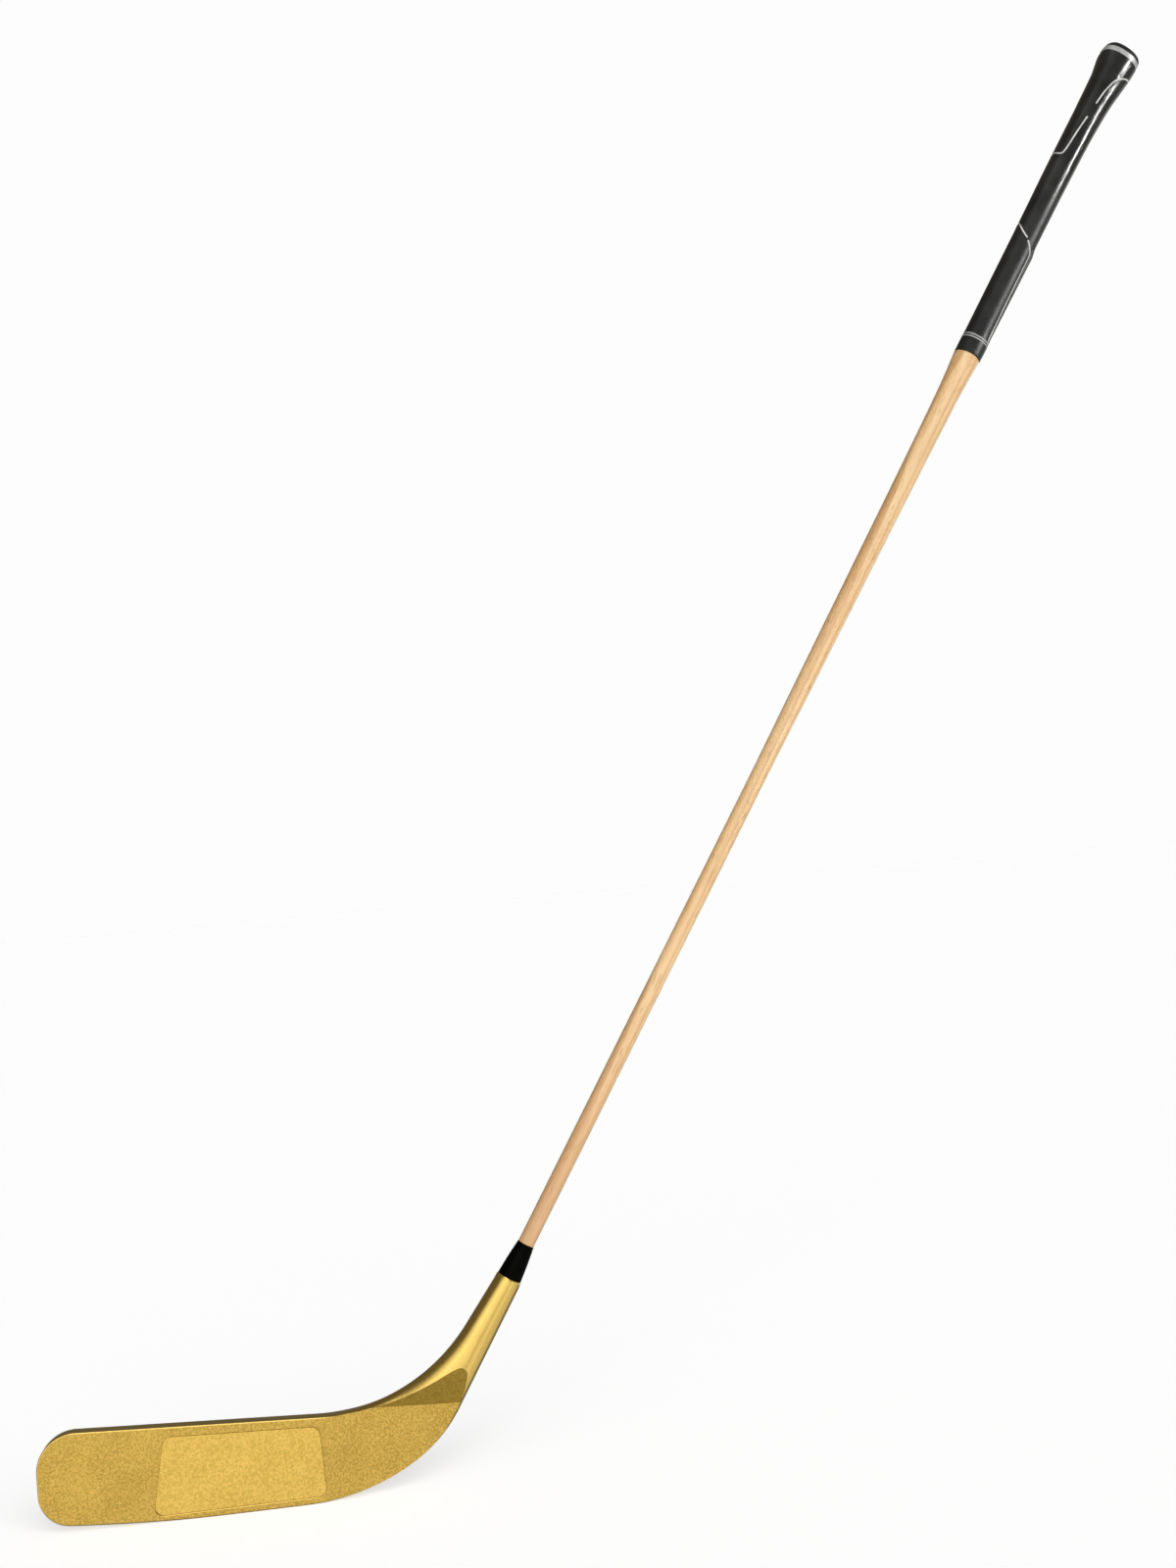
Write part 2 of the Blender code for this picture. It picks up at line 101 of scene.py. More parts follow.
# ferrule and shaft
FERRULE_TOP = 0.1840
FERRULE_LOW_R = 0.0085
FERRULE_HIGH_R = 0.0059
FERRULE_EDGE = 0.0004
FERRULE_BELLY = 0.00022           # the cone swells by this much half-way up
FERRULE_LIP = 0.0001
FERRULE_PINCH = 0.0002            # how much tighter its bore is than the wood
TENON = (                         # place, how much thinner than the wood in sight
    (0.1700, 0.0004),
    (0.1834, 0.0004),
    (0.1838, 0.0001),
)
WOOD_START = 0.0002               # full width starts this far above the ferrule
SHAFT_SHOULDER = 0.8900           # the core goes on from here, under the grip
SHOULDER_EDGE = 0.0003
SHAFT_CORE_R = 0.0076
SHAFT_BUTT = 1.1387
SHAFT_PROFILE = (
    (0.1843, 0.00570),
    (0.5390, 0.00575),
    (0.6120, 0.00630),
    (0.6970, 0.00680),
    (0.7840, 0.00735),
    (0.8500, 0.00810),
    (0.8620, 0.00840),
    (0.8710, 0.00875),
    (0.8780, 0.00910),
    (0.8840, 0.00950),
    (0.8900, 0.00980),
)

# grip
GRIP_MOUTH = 0.8903
GRIP_BORE_R = 0.0085
RING_PLACES = (0.2529, 0.2566)
GRIP_END = 0.2617
MOUTH_ROLL = 0.0005
GRIP_STATIONS = (                 # distance from the mouth; reach to toe, to heel, to the sides
    (0.0000, 0.0097, 0.0102, 0.0099),
    (0.0080, 0.0097, 0.0104, 0.0100),
    (0.0140, 0.0096, 0.0103, 0.0098),
    (0.0180, 0.0095, 0.0098, 0.0096),
    (0.0600, 0.0095, 0.0098, 0.0098),
    (0.0990, 0.0095, 0.0098, 0.0099),
    (0.1300, 0.0097, 0.0100, 0.0101),
    (0.1550, 0.0099, 0.0104, 0.0102),
    (0.1840, 0.0098, 0.0110, 0.0106),
    (0.2060, 0.0097, 0.0122, 0.0112),
    (0.2180, 0.0098, 0.0132, 0.0117),
    (0.2290, 0.0099, 0.0148, 0.0123),
    (0.2380, 0.0101, 0.0162, 0.0128),
    (0.2460, 0.0110, 0.0173, 0.0133),
    (0.2520, 0.0116, 0.0178, 0.0134),
    (0.2560, 0.0115, 0.0179, 0.0133),
    (0.2588, 0.0109, 0.0177, 0.0128),
    (0.2604, 0.0097, 0.0168, 0.0118),
    (0.2613, 0.0081, 0.0151, 0.0102),
    (0.2617, 0.0045, 0.0095, 0.0065),
)
CAP_SET_IN = 0.00013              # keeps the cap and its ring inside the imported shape
FRONT_FLATNESS = 2.6
BACK_FLATNESS = 2.0
PALM_RISE = (0.0003, 0.0011)      # height of the heel side's raised panel, at its two ends
PALM_PLACES = (0.0145, 0.0870)
PALM_TURNS = (radians(32), radians(40))
PALM_FADES = (0.002, 0.009)       # lengths over which its ends rise and fall
VENT_R = 0.0012
CAP_CROWDING = 0.8                # below 1: the cap's rings stand closer towards its top
CAP_INNER_RINGS = (0.35, 0.7, 1.0)
LINE_WIDTH = 0.0013
LINE_SPACING = 0.0008
LINE_SECTION = (                  # across, in line widths; height above the grip
    (-0.50, -0.00020),
    (-0.42, 0.00006),
    (-0.20, 0.00013),
    (0.20, 0.00013),
    (0.42, 0.00006),
    (0.50, -0.00020),
    (0.00, -0.00060),
)

MOUTH_RINGS = (0.0116, 0.0135)
MOUTH_RING_HALF = 0.0006
MOUTH_RING_LIFT = 0.00014
MOUTH_RING_DEPTH = 0.0004         # from the ring's bore in to the sleeve's
BAND_SQUARENESS = 4               # 2 would be a round crown
GRIP_LINES = (                    # front halves, (place, degrees): their mirror images finish them
    ("heel", (
        (0.2108, 93), (0.2208, 99), (0.2308, 109), (0.2357, 120), (0.2405, 145), (0.2425, 180),
    )),
    ("middle", (
        (0.1660, 0), (0.1660, 12), (0.1653, 52), (0.1685, 69), (0.1840, 79), (0.1991, 88),
    )),
    ("toe", ((0.1070, 0), (0.1058, 14), (0.1003, 57), (0.0965, 89))),
)
PALM_LINE = (
    (0.0950, 95), (0.0918, 112), (0.0888, 130), (0.0855, 137), (0.0800, 138), (0.0493, 139.5),
    (0.0300, 142), (0.0140, 143.5),
)

# wood colours, linear
WOOD_WARM = (0.68, 0.41, 0.175)
WOOD_PALE = (0.76, 0.52, 0.26)
WOOD_LATE = (0.50, 0.25, 0.085)
WOOD_PORE = (0.30, 0.13, 0.045)
WOOD_ROSY = (0.52, 0.29, 0.145)
ROSY_PLACES = (0.15, 0.40)        # the lowest stretch of the wood is darker and pinker
ROSY_SHARE = 0.6

# metals: dull and bright colour; roughness range, grains per metre, their depth, clear coat
GOLDS = {
    "Head_satin": (
        (0.67, 0.455, 0.095), (0.74, 0.515, 0.118),
        (0.28, 0.32), 2600.0, 0.000004, 0.8,
    ),
    "Head_blasted": (
        (0.43, 0.283, 0.053), (0.74, 0.49, 0.113),
        (0.36, 0.46), 1500.0, 0.00004, 0.0,
    ),
    "Insert_blasted": (
        (0.62, 0.41, 0.078), (0.88, 0.60, 0.145),
        (0.38, 0.48), 1500.0, 0.00004, 0.0,
    ),
    # the ramp's gold is a darker copy of the milled face's gold: painted shade standing in for the
    # shade on the tilted ramp
    "Head_ramp_painted_shade": (
        (0.38, 0.25, 0.042), (0.51, 0.335, 0.060),
        (0.36, 0.44), 1500.0, 0.00002, 0.0,
    ),
}
CLOUD_SCALE = 45.0
MOTTLE_SCALE = 700.0

# rubbers: dark and light colour, roughness range, depth of the skin, extra roughness low down
RUBBERS = {
    "Grip_rubber": ((0.012, 0.012, 0.012), (0.024, 0.024, 0.023), (0.08, 0.14), 0.00002, 0.30),
    "Cap_rubber": ((0.006, 0.006, 0.006), (0.012, 0.012, 0.012), (0.35, 0.5), 0.00004, 0.0),
}
MATT_PLACES = (0.105, 0.175)      # that extra roughness fades out between these, from the mouth
SKIN_SCALE = 1150.0

# plastics, glues and tape: dark and light colour, roughness range
PLASTICS = {
    "Ferrule_black": ((0.0008, 0.0008, 0.0007), (0.0018, 0.0018, 0.0016), (0.2, 0.3)),
    "Ring_grey": ((0.24, 0.24, 0.23), (0.34, 0.34, 0.33), (0.4, 0.55)),
    "Line_grey": ((0.42, 0.42, 0.40), (0.56, 0.56, 0.54), (0.4, 0.55)),
    "Bonding_film": ((0.30, 0.24, 0.12), (0.38, 0.31, 0.17), (0.3, 0.5)),
    "Epoxy": ((0.34, 0.29, 0.18), (0.42, 0.37, 0.24), (0.25, 0.45)),
    "Tape": ((0.62, 0.59, 0.50), (0.72, 0.69, 0.60), (0.5, 0.7)),
}

# camera: metres, degrees from level, millimetres
EYE = Vector((0.113, -1.295, 0.4016))
LOOK_AT = Vector((0.2554, 0.0, 0.4683))
ROLL = radians(4.98)
LENS = 42.75
SENSOR_WIDTH = 36.0
CLIP = (0.01, 200.0)

# light: azimuth 0 is in front of the face and 90 at the grip's side, degrees
ROOM = 0.15
ROOM_TINT = (1.0, 0.88, 0.62)
BACKDROP = 0.98
FLOOR_HALF = 60.0
FLOOR_TONE = 0.80
FLOOR_GLOW = 0.57
SOFT_BOXES = (                    # azimuth, elevation, inner and outer half angle, strength
    (-10, 0, 16, 32, 1.62),
    (-42, 12, 8, 24, 1.5),
    (-5, 34, 8, 26, 1.4),
    (30, -18, 8, 24, 0.7),
    (60, -36, 24, 52, 0.92),
    (-52, -28, 14, 34, 0.7),
    (131, -6, 8, 28, 1.7),
)
SUNS = (                          # azimuth, elevation, strength, spread; kind of light, pieces lit
    ("Key", (20, 28, 1.6, 50), "diffuse", ()),
    ("Rim", (-10, 55, 0.5, 25), "glossy", ()),
    ("Sheen", (29, -8, 4.2, 14), "glossy", ("Shaft",)),
    ("Glint", (60, 1, 6.5, 2.5), "glossy", ("Grip_sleeve", "Butt_ring", "Grip_cap")),
    ("Flare_glint", (55, -14, 9.0, 2.5), "glossy", ("Grip_sleeve",)),
    ("Butt_glint", (60, -7, 5.0, 2.5), "glossy", ("Grip_sleeve",)),
)

# mesh fineness
EDGE_STEPS = 12
ARC_STEP = radians(0.9)
CORNER_STEP = pi / 36
ROCKER_STEPS = 16
STRAIGHT_STEPS = 20
WIDTH_SAMPLES = 120
HALVINGS = 40
HOSEL_STEPS = 10
RIM_STEPS = 5
FERRULE_STEPS = 12
SHAFT_STEPS = 150
ROLL_STEPS = 4
SLEEVE_STEPS = 300
BAND_STEPS = 10
CAP_STEPS = 16
ROUND_SIDES = 96
GRIP_SIDES = 160
TINY = 1e-7
WELD = 2e-6
SMALL_PLACE = 1e-4
SMALL_TURN = 0.01

# edges that turn more than this stay sharp, degrees
HEAD_CREASE = 25.0
ROUND_CREASE = 50.0
GRIP_CREASE = 45.0

UP = Vector((cos(LIE), 0.0, sin(LIE)))
TO_TOE = Vector((-sin(LIE), 0.0, cos(LIE)))
TO_FRONT = Vector((0.0, -1.0, 0.0))


# ---------------------------------------------------------------- plane geometry

def heading(angle):
    return Vector((cos(angle), sin(angle)))


def on_axis(distance, across=0.0):
    """A point of the XZ plane by its place on the shaft's axis and its offset to the heel side."""
    return Vector((AXIS_FOOT, 0.0)) + distance * heading(LIE) + across * heading(LIE - pi / 2)


def meet(p, along_p, q, along_q):
    """Where two lines cross."""
    cross = along_p.x * along_q.y - along_p.y * along_q.x
    d = q - p
    return p + along_p * ((d.x * along_q.y - d.y * along_q.x) / cross)


def arc(start, angle_in, angle_out, radius, step=ARC_STEP):
    """Points of a bend from one heading to another; left turns grow the angle."""
    side = 1 if angle_out > angle_in else -1
    centre = start + side * radius * heading(angle_in + pi / 2)
    count = max(2, round(abs(angle_out - angle_in) / step))
    turns = [angle_in + (angle_out - angle_in) * i / count for i in range(count + 1)]
    return [centre + side * radius * heading(a - pi / 2) for a in turns]


def heel_and_toe_outline():
    """Outline from the hosel's heel side round the heel, the sole and the toe to the top edge."""
    rise = HEEL_LOW_R * (1 - cos(HEEL_SPLIT)) + HEEL_HIGH_R * (cos(HEEL_SPLIT) - cos(LIE))
    run = HEEL_LOW_R * sin(HEEL_SPLIT) + HEEL_HIGH_R * (sin(LIE) - sin(HEEL_SPLIT))
    corner = on_axis(HOSEL_TOP, HOSEL_R)
    side_x = corner.x - (corner.y - rise) / tan(LIE)
    low = arc(Vector((side_x - run, 0.0)), 0.0, HEEL_SPLIT, HEEL_LOW_R)
    high = arc(low[-1], HEEL_SPLIT, LIE, HEEL_HIGH_R)
    heel = (low[:-1] + high)[::-1]

    tip = asin((SOLE_FLAT_END - TOE_X - TOE_LOW_R) / (ROCKER_R - TOE_LOW_R))
    rocker = arc(Vector((SOLE_FLAT_END, 0.0)), pi, pi - tip, ROCKER_R, tip / ROCKER_STEPS)
    low_corner = arc(rocker[-1], pi - tip, pi / 2, TOE_LOW_R, 3 * ARC_STEP)
    reach = TOE_HIGH_R * tan((pi / 2 - TOP_SLOPE) / 2)
    edge = meet(TOP_POINT, heading(TOP_SLOPE), Vector((TOE_X, 0.0)), heading(pi / 2))
    high_corner = arc(edge - Vector((0.0, reach)), pi / 2, TOP_SLOPE, TOE_HIGH_R, 3 * ARC_STEP)
    return [corner] + heel + rocker + low_corner[1:] + high_corner


def throat_line():
    """Points down the neck's inner side to the blade's top edge, each with its upward heading."""
    corner = on_axis(HOSEL_TOP - HOSEL_TAPER, -HOSEL_R)
    knee = meet(corner, heading(THROAT_ANGLE), TOP_POINT, heading(TOP_SLOPE))
    start = knee + THROAT_R * tan((THROAT_ANGLE - TOP_SLOPE) / 2) * heading(THROAT_ANGLE)
    line = []
    for i in range(STRAIGHT_STEPS):
        share = i / STRAIGHT_STEPS
        line.append((corner.lerp(start, share), LIE + (THROAT_ANGLE - LIE) * share))
    bend = arc(start, THROAT_ANGLE + pi, TOP_SLOPE + pi, THROAT_R, ARC_STEP * 0.75)
    for i, point in enumerate(bend):
        line.append((point, THROAT_ANGLE + (TOP_SLOPE - THROAT_ANGLE) * i / (len(bend) - 1)))
    return line


def first_hit(start, along, outline):
    """Where a ray first meets an outline, and the number of the outline's point after it."""
    found = []
    for i in range(len(outline) - 1):
        a, b = outline[i], outline[i + 1]
        side_a = along.cross(a - start)
        side_b = along.cross(b - start)
        if side_a == side_b or side_a * side_b > 0:
            continue
        point = a.lerp(b, side_a / (side_a - side_b))
        if (point - start).dot(along) > 0:
            found.append(((point - start).length, i + 1, point))
    _, after, point = min(found, key=lambda hit: hit[0])
    return point, after


def ease(low, high, value):
    """0 below low, 1 above high, smooth between."""
    t = min(1.0, max(0.0, (value - low) / (high - low)))
    return t * t * (3 - 2 * t)


def mix(a, b, share):
    return a + (b - a) * share


def glide(stations, place):
    """Smooth curve through a table's rows: Hermite pieces with the slopes of their neighbours."""
    last = len(stations) - 1
    i = 0
    while i < last - 1 and place > stations[i + 1][0]:
        i += 1
    a, b = stations[i], stations[i + 1]
    before, after = stations[max(0, i - 1)], stations[min(last, i + 2)]
    span = b[0] - a[0]
    t = min(1.0, max(0.0, (place - a[0]) / span))
    values = []
    for k in range(1, len(a)):
        slope = (b[k] - a[k]) / span
        slope_in = (a[k] - before[k]) / (a[0] - before[0]) if i else slope
        slope_out = (after[k] - b[k]) / (after[0] - b[0]) if i + 2 <= last else slope
        start = calm(slope_in, slope)
        end = calm(slope, slope_out)
        cubic = (2 * t ** 3 - 3 * t ** 2 + 1) * a[k] + (t ** 3 - 2 * t ** 2 + t) * span * start
        values.append(cubic + (3 * t ** 2 - 2 * t ** 3) * b[k] + (t ** 3 - t ** 2) * span * end)
    return values


def calm(p, q):
    """A slope between two that adds no bump of its own."""
    return 0.0 if p * q <= 0 else 2 * p * q / (p + q)


# ---------------------------------------------------------------- head

def above_crease(point):
    """Height of a point above the line where the milled face stops."""
    return (point - TOP_POINT).dot(heading(TOP_SLOPE + pi / 2)) - CREASE_RISE


def milled_half(point):
    """Half thickness that milling leaves: flat on the blade, a ramp above the crease."""
    return BLADE_HALF + RAMP_SLOPE * max(0.0, above_crease(point))


def side_rounding(width, bend):
    """Half thickness of the neck's section and (size, depth) of the rounding on its two sides.

    bend runs from 0 where the hosel ends to 1 where the plain blade starts.
    """
    half = mix(HOSEL_R, BLADE_HALF, ease(*THINNING, bend))
    lean = ease(*LEANING, bend)
    inner = mix(width * (HALF_ROUND + INNER_LEAN * lean), EDGE_R, ease(*INNER_CLOSING, bend))
    outer = mix(width * (HALF_ROUND - OUTER_LEAN * lean), EDGE_R, ease(*OUTER_CLOSING, bend))
    inner_depth = half - (BLADE_HALF - EDGE_R) * ease(*INNER_FLATTENING, bend)
    outer_depth = half - (BLADE_HALF - EDGE_R) * ease(*OUTER_FLATTENING, bend)
    return half, (inner, inner_depth), (outer, outer_depth)


def rounded_half(place, width, half, inner, outer):
    """Half thickness of the unmilled neck at a place across its width."""
    for reach, (size, depth) in ((place, inner), (width - place, outer)):
        if reach < size:
            return half - depth + depth * sqrt(max(0.0, 1 - ((size - reach) / size) ** 2))
    return half


def crossings(excess, width):
    """First and last places where the round neck stands proud of the milling, or None."""
    samples = [width * i / WIDTH_SAMPLES for i in range(WIDTH_SAMPLES + 1)]
    proud = [i for i, place in enumerate(samples) if excess(place) > 0]
    if not proud:
        return None
    ends = []
    for i, outwards in ((proud[0], -1), (proud[-1], 1)):
        inside, outside = samples[i], samples[i + outwards]
        for _ in range(HALVINGS):
            middle = (inside + outside) / 2
            inside, outside = (middle, outside) if excess(middle) > 0 else (inside, middle)
        ends.append(inside)
    return ends


def corner_places(size, reach):
    """Places from an edge inwards, evenly turned round its rounding, ending at reach."""
    turned = acos(max(-1.0, 1 - min(1.0, reach / size)))
    places = [size * (1 - cos(turned * k / EDGE_STEPS)) for k in range(EDGE_STEPS)]
    return places + [reach]


def neck_section(start, angle, end):
    """Front half of one section of the neck: (point, half thickness) from inner to heel side."""
    width = (end - start).length
    along = heading(angle - pi / 2)
    bend = (THROAT_ANGLE - angle) / (THROAT_ANGLE - TOP_SLOPE)
    half, inner, outer = side_rounding(width, max(0.0, bend))

    def round_at(place):
        return rounded_half(place, width, half, inner, outer)

    def milled_at(place):
        return milled_half(start + place * along)

    ends = crossings(lambda place: round_at(place) - milled_at(place) - TINY, width)
    first, last = ends or (inner[0], width - outer[0])
    rise = above_crease(start) - above_crease(end)
    crease = min(last, max(first, width * above_crease(start) / rise))
    places = corner_places(inner[0], first) + [crease]
    places += [width - place for place in reversed(corner_places(outer[0], width - last))]
    return [(start + p * along, min(round_at(p), milled_at(p))) for p in places], ends is not None


def blade_column(point, inwards):
    """Rounded edge of the plain blade at one place of its outline, from the edge to the face."""
    column = []
    for k in range(EDGE_STEPS + 1):
        turn = pi / 2 * k / EDGE_STEPS
        place = point + EDGE_R * (1 - cos(turn)) * inwards
        column.append((place, BLADE_HALF - EDGE_R + EDGE_R * sin(turn)))
    return column


def both_sides(front):
    """Closed loop of 3-D points: along the front and back along its mirror image."""
    loop = [Vector((p.x, -half, p.y)) for p, half in front]
    return loop + [Vector((p.x, half, p.y)) for p, half in reversed(front)]


def hosel_end(loop, turn):
    """One ring of the hosel's tapered end: its first section, lifted and shrunk to the axis."""
    centre = on_axis(HOSEL_TOP - HOSEL_TAPER)
    middle = Vector((centre.x, 0.0, centre.y))
    lift = HOSEL_TAPER * sin(turn) * UP
    shrink = 1 - HOSEL_CHAMFER / HOSEL_R * (1 - cos(turn))
    return [middle + shrink * (p - middle) + lift for p in loop]


def bridge(mesh, near, far, closed, material=0):
    """Quads between two rows of vertices."""
    count = len(near)
    for i in range(count if closed else count - 1):
        j = (i + 1) % count
        face = mesh.faces.new((near[i], near[j], far[j], far[i]))
        face.material_index = material


# the ramp's slot takes a darker copy of the milled gold: painted shade on the ramp
MILLED, RAMP = 1, 2               # material slots of the head; 0 is its body


def head_mesh():
    outline = heel_and_toe_outline()
    sections = []
    milled = []
    for start, angle in throat_line():
        end, after = first_hit(start, heading(angle - pi / 2), outline)
        section, cut_flat = neck_section(start, angle, end)
        sections.append(section)
        milled.append(cut_flat)
    mesh = bmesh.new()
    loops = [both_sides(section) for section in sections]
    ends = [hosel_end(loops[0], pi / 2 * k / HOSEL_STEPS) for k in range(HOSEL_STEPS, 0, -1)]
    rings = [[mesh.verts.new(p) for p in loop] for loop in ends + loops]
    for near, far in zip(rings, rings[1:]):
        bridge(mesh, near, far, True)
    mesh.faces.new(rings[0])

    # columns of the milled flat and of the ramp above it, on the front and on the back
    total = len(loops[0])
    finish = {}
    for column, slot in ((EDGE_STEPS, RAMP), (EDGE_STEPS + 1, MILLED)):
        finish[column] = finish[total - 2 - column] = slot
    mesh.faces.ensure_lookup_table()
    for i, cut_flat in enumerate(milled[:-1]):
        if cut_flat or i > len(milled) / 2:
            for column, slot in finish.items():
                mesh.faces[(len(ends) + i) * total + column].material_index = slot

    # plain blade: its rounded edge runs from the last section's heel end round to its inner end
    seam = sections[-1]
    rim = [seam[-1][0]] + outline[after:] + [seam[0][0]]
    columns = [list(reversed(seam[-EDGE_STEPS - 1:]))]
    for i in range(1, len(rim) - 1):
        chord = (rim[i + 1] - rim[i - 1]).normalized()
        columns.append(blade_column(rim[i], Vector((chord.y, -chord.x))))
    columns.append(seam[:EDGE_STEPS + 1])
    strips = []
    for column in columns:
        strips.append([mesh.verts.new(p) for p in both_sides(list(reversed(column)))])
    for near, far in zip(strips, strips[1:]):
        bridge(mesh, near, far, False)
    for side in (0, -1):
        mesh.faces.new([strip[side] for strip in strips]).material_index = MILLED
    bmesh.ops.remove_doubles(mesh, verts=mesh.verts, dist=WELD)
    bmesh.ops.dissolve_degenerate(mesh, edges=mesh.edges, dist=WELD)
    bmesh.ops.recalc_face_normals(mesh, faces=mesh.faces)
    return mesh


def insert_outline(shrink):
    """Rounded outline of the insert's pocket, shrunk by an even margin."""
    corners = [Vector(c) for c in INSERT_CORNERS]
    points = []
    for i, corner in enumerate(corners):
        before = (corners[i - 1] - corner).normalized()
        after = (corners[(i + 1) % 4] - corner).normalized()
        angle_in = atan2(-before.y, -before.x)
        opening = before.angle(after)
        reach = INSERT_CORNER_R / tan(opening / 2)
        start, angle_out = corner + reach * before, angle_in + pi - opening
        bend = arc(start, angle_in, angle_out, INSERT_CORNER_R, CORNER_STEP)
        middle = corner + (before + after).normalized() * INSERT_CORNER_R / sin(opening / 2)
        points += [p + (middle - p).normalized() * shrink for p in bend]
    return points


def stack(layers):
    """Closed flat body from (outline, depth) layers, capped at both ends."""
    mesh = bmesh.new()
    rows = [[mesh.verts.new((p.x, depth, p.y)) for p in outline] for outline, depth in layers]
    for near, far in zip(rows, rows[1:]):
        bridge(mesh, near, far, True)
    mesh.faces.new(rows[0])
    mesh.faces.new(rows[-1])
    bmesh.ops.recalc_face_normals(mesh, faces=mesh.faces)
    return mesh


def pocket_mesh():
    """Cutter for the insert's pocket, with a small lip round its mouth."""
    layers = []
    for shrink, depth in POCKET_LAYERS:
        layers.append((insert_outline(shrink * POCKET_LIP), -BLADE_HALF + depth * POCKET_LIP))
    layers.append((insert_outline(0.0), -BLADE_HALF + POCKET_DEPTH))
    return stack(layers)


def insert_mesh():
    """The insert's plate, with a rounded rim."""
    face = -BLADE_HALF + INSERT_SUNK
    layers = []
    for k in range(RIM_STEPS + 1):
        turn = pi / 2 * k / RIM_STEPS
        shrink = INSERT_GAP + INSERT_EDGE * (1 - sin(turn))
        layers.append((insert_outline(shrink), face + INSERT_EDGE * (1 - cos(turn))))
    layers.append((insert_outline(INSERT_GAP), INSERT_BACK))
    return stack(layers)


# ---------------------------------------------------------------- pieces on the shaft's axis

def axis_point(place, to_toe, to_front):
    """World point by its place on the axis and its offsets square to it."""
    return Vector((AXIS_FOOT, 0.0, 0.0)) + place * UP + to_toe * TO_TOE + to_front * TO_FRONT


def circle(place, radius, sides=ROUND_SIDES):
    turns = [2 * pi * i / sides for i in range(sides)]
    return [axis_point(place, radius * cos(t), radius * sin(t)) for t in turns]


def tube(rings, capped=False):
    """Body whose rings run up its outside and, unless capped, back down its bore."""
    mesh = bmesh.new()
    rows = [[mesh.verts.new(p) for p in ring] for ring in rings]
    pairs = zip(rows, rows[1:]) if capped else zip(rows, rows[1:] + rows[:1])
    for near, far in pairs:
        bridge(mesh, near, far, True)
    if capped:
        mesh.faces.new(rows[0])
        mesh.faces.new(rows[-1])
    bmesh.ops.recalc_face_normals(mesh, faces=mesh.faces)
    return mesh


def ferrule_mesh():
    """Cone with softened rims and a bore."""
    low, top, edge = HOSEL_TOP, FERRULE_TOP, FERRULE_EDGE
    low_r, high_r = FERRULE_LOW_R, FERRULE_HIGH_R + FERRULE_LIP
    profile = [(low, low_r - edge), (low + 0.3 * edge, low_r - 0.3 * edge), (low + edge, low_r)]
    for i in range(1, FERRULE_STEPS):
        t = i / FERRULE_STEPS
        belly = FERRULE_BELLY * sin(pi * t)
        profile.append((mix(low + edge, top - edge, t), mix(low_r, high_r, t) + belly))
    profile += [(top - edge, high_r), (top - 0.3 * edge, FERRULE_HIGH_R)]
    profile.append((top, FERRULE_HIGH_R - 0.5 * edge))
    rings = [circle(place, radius) for place, radius in profile]
    bore = SHAFT_PROFILE[0][1] - FERRULE_PINCH
    rings += [circle(place, bore) for place in (top, low)]
    return tube(rings)


def shaft_mesh():
    """Wood from inside the ferrule to its shoulder, and its core on under the grip."""
    rings = [circle(place, SHAFT_PROFILE[0][1] - under) for place, under in TENON]
    for i in range(SHAFT_STEPS + 1):
        place = mix(FERRULE_TOP + WOOD_START, SHAFT_SHOULDER - SHOULDER_EDGE, i / SHAFT_STEPS)
        rings.append(circle(place, glide(SHAFT_PROFILE, place)[0]))
    rings.append(circle(SHAFT_SHOULDER, SHAFT_PROFILE[-1][1] - SHOULDER_EDGE))
    rings += [circle(place, SHAFT_CORE_R) for place in (SHAFT_SHOULDER, SHAFT_BUTT)]
    return tube(rings, capped=True)


def palm_rise(place, turn):
    """Height of the raised panel down the heel side of the lower grip."""
    low, high = PALM_PLACES
    across = 1 - ease(*PALM_TURNS, abs(turn - pi))
    along = ease(low, low + PALM_FADES[0], place) * (1 - ease(high, high + PALM_FADES[1], place))
    height = mix(*PALM_RISE, min(1.0, max(0.0, (place - low) / (high - low))))
    return height * across * along


def grip_point(place, turn, lift=0.0):
    """A point of the grip's surface, raised square to it by lift."""
    to_toe, to_heel, to_side = glide(GRIP_STATIONS, place)
    c, s = cos(turn), sin(turn)
    power = 2 / (FRONT_FLATNESS if c > 0 else BACK_FLATNESS)
    x = (to_toe if c > 0 else to_heel) * abs(c) ** power * (1 if c > 0 else -1)
    y = to_side * abs(s) ** power * (1 if s > 0 else -1)
    out = palm_rise(place, turn % (2 * pi)) + lift
    radius = sqrt(x * x + y * y)
    return axis_point(GRIP_MOUTH + place, x * (1 + out / radius), y * (1 + out / radius))


def grip_ring(place, lift=0.0):
    return [grip_point(place, 2 * pi * i / GRIP_SIDES, lift) for i in range(GRIP_SIDES)]


def sleeve_mesh():
    """Rubber sleeve with a rolled mouth, from the mouth to the butt ring."""
    rings = []
    for k in range(ROLL_STEPS + 1):
        turn = pi / 2 * k / ROLL_STEPS
        rings.append(grip_ring(MOUTH_ROLL * (1 - cos(turn)), MOUTH_ROLL * (sin(turn) - 1)))
    end = RING_PLACES[0]
    rings += [grip_ring(mix(MOUTH_ROLL, end, i / SLEEVE_STEPS)) for i in range(1, SLEEVE_STEPS + 1)]
    rings += [circle(GRIP_MOUTH + place, GRIP_BORE_R, GRIP_SIDES) for place in (end, 0.0)]
    return tube(rings)


def band_mesh(low, high, lift, inner_r):
    """Ring round the grip, softly rounded, standing proud by lift."""
    rings = []
    for i in range(BAND_STEPS + 1):
        rise = lift * (1 - abs(2 * i / BAND_STEPS - 1) ** BAND_SQUARENESS)
        rings.append(grip_ring(mix(low, high, i / BAND_STEPS), rise))
    rings += [circle(GRIP_MOUTH + place, inner_r, GRIP_SIDES) for place in (high, low)]
    return tube(rings)


